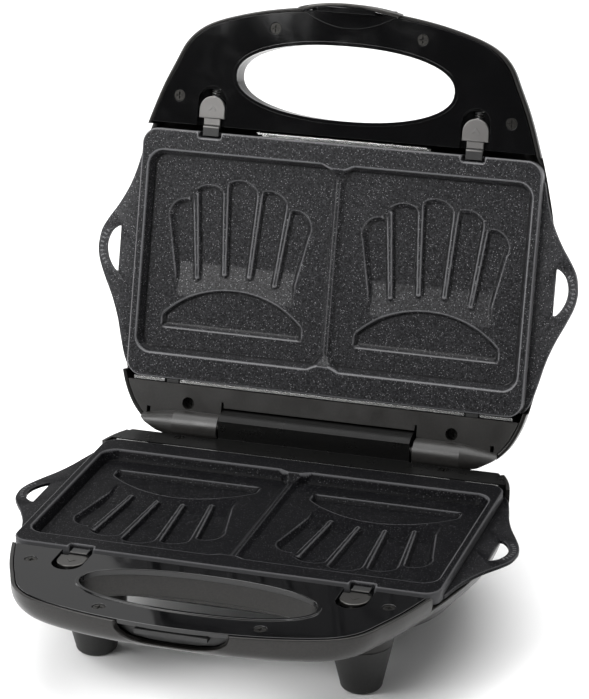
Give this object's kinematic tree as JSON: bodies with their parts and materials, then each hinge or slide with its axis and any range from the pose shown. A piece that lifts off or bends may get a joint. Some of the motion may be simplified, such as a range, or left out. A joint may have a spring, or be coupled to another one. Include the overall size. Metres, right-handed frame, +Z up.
{
  "type": "sandwich toaster",
  "caption": "Countertop sandwich toaster with a hinged lid, divided cooking plates with ears, a handle opening in each half and a closing clip, shown open.",
  "frame": {"origin": "on the table, under the middle of the whole object as it stands with its lid open", "axes": "+X to the right seen from the front, -Y towards the front handle, +Z up"},
  "size_m": [0.278, 0.3145, 0.3001],
  "materials": {
    "shell": "warm grey metallic lacquer, smooth",
    "frame": "glossy black",
    "panel": "satin dark grey",
    "plate": "non-stick coating with a fine light speckle",
    "reflector": "bright",
    "element": "dull sheath",
    "bracket": "plain",
    "foot": "dark, smooth",
    "screw": "zinc plated",
    "pin": "turned",
    "gland": "satin",
    "ceramic": "off-white",
    "fuse": "plain",
    "wire": "heat-proof sleeve",
    "catch": "black",
    "latch": "grey metallic",
    "spring": "spring wire",
    "clip": "dark, glossy",
    "lens_red": "translucent red",
    "lens_green": "translucent green",
    "lamp": "clear tube"
  },
  "bodies": {
    "base": {"base_shell": "shell", "base_frame": "frame", "base_rear_panel": "panel", "lower_plate": "plate", "lower_reflector": "reflector", "lower_element": "element", "lower_element_brackets": "bracket", "feet": "foot", "foot_screws": "screw", "base_frame_screws": "screw", "base_rear_screws": "screw", "hinge_pins": "pin", "cord_gland": "gland", "terminal_block": "ceramic", "lower_thermostat": "ceramic", "thermal_fuse": "fuse", "base_wiring": "wire", "lower_plate_catches": "catch", "clip_keeper": "catch", "base_latch_spring_left": "spring", "base_latch_spring_right": "spring"},
    "lid": {"lid_shell": "shell", "lid_frame": "frame", "lid_rear_panel": "panel", "upper_plate": "plate", "upper_reflector": "reflector", "upper_element": "element", "upper_element_brackets": "bracket", "lid_frame_screws": "screw", "lid_rear_screws": "screw", "upper_thermostat": "ceramic", "lid_wiring": "wire", "upper_plate_catches": "catch", "neon_lamps": "lamp", "lamp_holder": "ceramic", "power_lens": "lens_red", "ready_lens": "lens_green", "clip_pin": "pin", "clip_spring": "spring", "lid_latch_spring_left": "spring", "lid_latch_spring_right": "spring"},
    "base_latch_left": {"base_latch_left": "latch"},
    "base_latch_right": {"base_latch_right": "latch"},
    "lid_latch_left": {"lid_latch_left": "latch"},
    "lid_latch_right": {"lid_latch_right": "latch"},
    "closing_clip": {"closing_clip": "clip"}
  },
  "joints": [
    {"name": "lid_hinge", "type": "hinge", "parent": "base", "child": "lid", "pos_m": [0, 0.0809, 0.0645], "axis": [1, 0, 0], "range_deg": [0, 106]},
    {"name": "clip_hinge", "type": "hinge", "parent": "lid", "child": "closing_clip", "pos_m": [0, 0.15261, 0.28737], "axis": [-1, 0, 0], "range_deg": [0, 18], "stiffness_Nm_per_rad": 0.05, "springref_deg": -6.88, "deforming": ["clip_spring"]},
    {"name": "base_latch_left_slide", "type": "slide", "parent": "base", "child": "base_latch_left", "axis": [0, -1, 0], "range_m": [0, 0.0044], "stiffness_N_per_m": 150, "springref_m": -0.004, "deforming": ["base_latch_spring_left"]},
    {"name": "base_latch_right_slide", "type": "slide", "parent": "base", "child": "base_latch_right", "axis": [0, -1, 0], "range_m": [0, 0.0044], "stiffness_N_per_m": 150, "springref_m": -0.004, "deforming": ["base_latch_spring_right"]},
    {"name": "lid_latch_left_slide", "type": "slide", "parent": "lid", "child": "lid_latch_left", "axis": [0, 0.2756, 0.9613], "range_m": [0, 0.0044], "stiffness_N_per_m": 150, "springref_m": -0.004, "deforming": ["lid_latch_spring_left"]},
    {"name": "lid_latch_right_slide", "type": "slide", "parent": "lid", "child": "lid_latch_right", "axis": [0, 0.2756, 0.9613], "range_m": [0, 0.0044], "stiffness_N_per_m": 150, "springref_m": -0.004, "deforming": ["lid_latch_spring_right"]}
  ]
}
